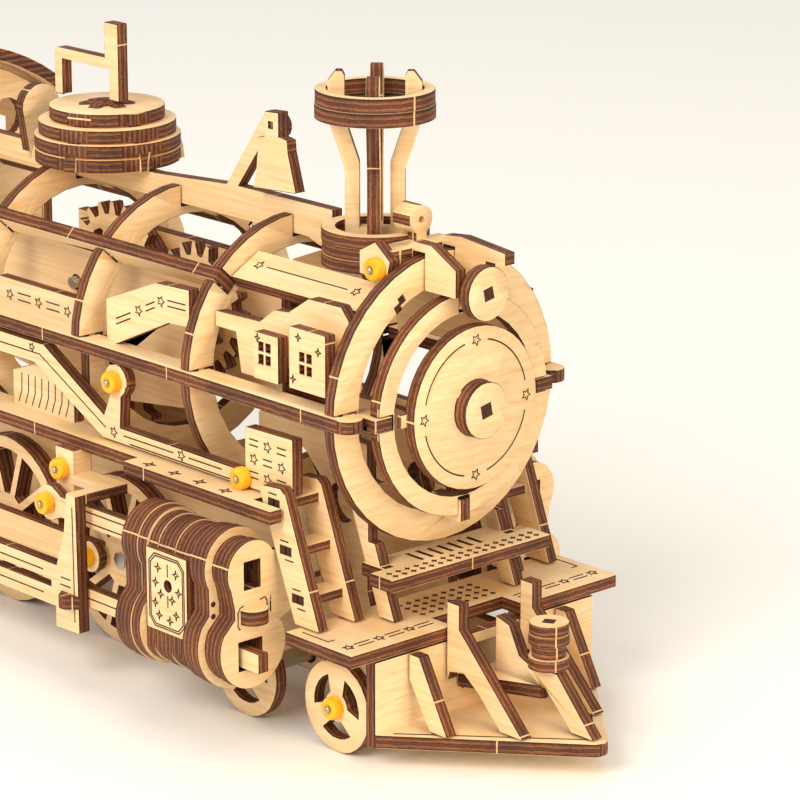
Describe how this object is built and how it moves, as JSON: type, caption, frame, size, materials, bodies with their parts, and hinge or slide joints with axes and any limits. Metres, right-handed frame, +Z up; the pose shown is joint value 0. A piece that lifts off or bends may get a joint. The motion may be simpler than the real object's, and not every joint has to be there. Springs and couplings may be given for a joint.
{
  "type": "wooden 3d jigsaw model",
  "caption": "Mechanical model of a steam locomotive slotted together from flat laser-cut plywood parts, with turning wheels, coupled rods, a gear train and a lift handle",
  "frame": {"origin": "centre of the bounding box in plan, on the surface that the wheels stand on", "axes": "+X is forward, towards the pilot; +Z is up; -Y is the right-hand side of the engine"},
  "size_m": [0.2054, 0.0722, 0.0976],
  "materials": {
    "plywood": "laser-cut birch plywood, pale matt faces and dark burnt edges"
  },
  "bodies": {
    "chassis": {"ring_front": "plywood", "ring_second": "plywood", "ring_third": "plywood", "ring_fourth": "plywood", "smokebox_ring": "plywood", "smokebox_door": "plywood", "spine_plate": "plywood", "bell": "plywood", "running_board_right": "plywood", "running_board_left": "plywood", "upper_stringer_right": "plywood", "upper_stringer_left": "plywood", "window_panel_right": "plywood", "window_panel_left": "plywood", "roof_strip_right": "plywood", "roof_strip_left": "plywood", "chimney_base": "plywood", "chimney_fins": "plywood", "chimney_crown": "plywood", "headlamp": "plywood", "lamp_bracket": "plywood", "dome": "plywood", "footplate_right": "plywood", "footplate_left": "plywood", "side_lever_right": "plywood", "side_lever_left": "plywood", "cylinder_right": "plywood", "cylinder_left": "plywood", "valve_rod_right": "plywood", "valve_rod_left": "plywood", "front_deck": "plywood", "grille_shelf": "plywood", "ladder_right": "plywood", "ladder_left": "plywood", "pilot_floor": "plywood", "pilot_rib_outer_right": "plywood", "pilot_rib_outer_left": "plywood", "pilot_rib_tall_right": "plywood", "pilot_rib_tall_left": "plywood", "pilot_rib_middle": "plywood", "buffer": "plywood", "cab_front": "plywood", "cab_side_right": "plywood", "cab_side_left": "plywood", "cab_roof": "plywood", "frame_plate_right": "plywood", "frame_plate_left": "plywood"},
    "lead_axle": {"lead_wheelset": "plywood"},
    "trailing_axle": {"trailing_wheelset": "plywood"},
    "front_axle": {"front_driver": "plywood"},
    "middle_axle": {"middle_driver": "plywood"},
    "rear_axle": {"rear_driver": "plywood"},
    "idler": {"idler_gear": "plywood"},
    "spring_barrel": {"spring_gear": "plywood"},
    "flywheel": {"fly_gear": "plywood"},
    "right_coupling_rod": {"coupling_rod_right": "plywood"},
    "left_coupling_rod": {"coupling_rod_left": "plywood"},
    "right_crosshead": {"crosshead_right": "plywood"},
    "left_crosshead": {"crosshead_left": "plywood"},
    "start_handle": {"dome_handle": "plywood"}
  },
  "joints": [
    {"name": "lead_spin", "type": "hinge", "parent": "chassis", "child": "lead_axle", "pos_m": [0.06845, 0, 0.0071], "axis": [0, 1, 0], "continuous": true},
    {"name": "trailing_spin", "type": "hinge", "parent": "chassis", "child": "trailing_axle", "pos_m": [0.04775, 0, 0.0071], "axis": [0, 1, 0], "continuous": true},
    {"name": "front_spin", "type": "hinge", "parent": "chassis", "child": "front_axle", "pos_m": [0.00985, 0, 0.014], "axis": [0, 1, 0], "continuous": true},
    {"name": "middle_spin", "type": "hinge", "parent": "chassis", "child": "middle_axle", "pos_m": [-0.02015, 0, 0.014], "axis": [0, 1, 0], "continuous": true},
    {"name": "rear_spin", "type": "hinge", "parent": "chassis", "child": "rear_axle", "pos_m": [-0.05015, 0, 0.014], "axis": [0, 1, 0], "continuous": true},
    {"name": "idler_spin", "type": "hinge", "parent": "chassis", "child": "idler", "pos_m": [-0.01265, 0, 0.03254], "axis": [0, 1, 0], "continuous": true},
    {"name": "spring_spin", "type": "hinge", "parent": "chassis", "child": "spring_barrel", "pos_m": [-0.00865, 0, 0.05519], "axis": [0, 1, 0], "continuous": true},
    {"name": "fly_spin", "type": "hinge", "parent": "chassis", "child": "flywheel", "pos_m": [0.01226, 0, 0.05325], "axis": [0, 1, 0], "continuous": true},
    {"name": "right_rod_pin", "type": "hinge", "parent": "middle_axle", "child": "right_coupling_rod", "pos_m": [-0.02515, -0.017, 0.014], "axis": [0, 1, 0], "continuous": true},
    {"name": "left_rod_pin", "type": "hinge", "parent": "middle_axle", "child": "left_coupling_rod", "pos_m": [-0.02515, 0.017, 0.014], "axis": [0, 1, 0], "continuous": true},
    {"name": "right_crosshead_slide", "type": "slide", "parent": "chassis", "child": "right_crosshead", "axis": [1, 0, 0], "range_m": [-0.005, 0.005]},
    {"name": "left_crosshead_slide", "type": "slide", "parent": "chassis", "child": "left_crosshead", "axis": [1, 0, 0], "range_m": [-0.005, 0.005]},
    {"name": "start_handle_lift", "type": "slide", "parent": "chassis", "child": "start_handle", "axis": [0, 0, 1], "range_m": [0, 0.003]}
  ],
  "couplings": [
    {"joint": "front_spin", "follows": "middle_spin", "ratio": 1},
    {"joint": "rear_spin", "follows": "middle_spin", "ratio": 1},
    {"joint": "idler_spin", "follows": "middle_spin", "ratio": -0.66667},
    {"joint": "spring_spin", "follows": "middle_spin", "ratio": 0.72727},
    {"joint": "fly_spin", "follows": "middle_spin", "ratio": -0.8},
    {"joint": "right_rod_pin", "follows": "middle_spin", "ratio": -1},
    {"joint": "left_rod_pin", "follows": "middle_spin", "ratio": -1}
  ]
}
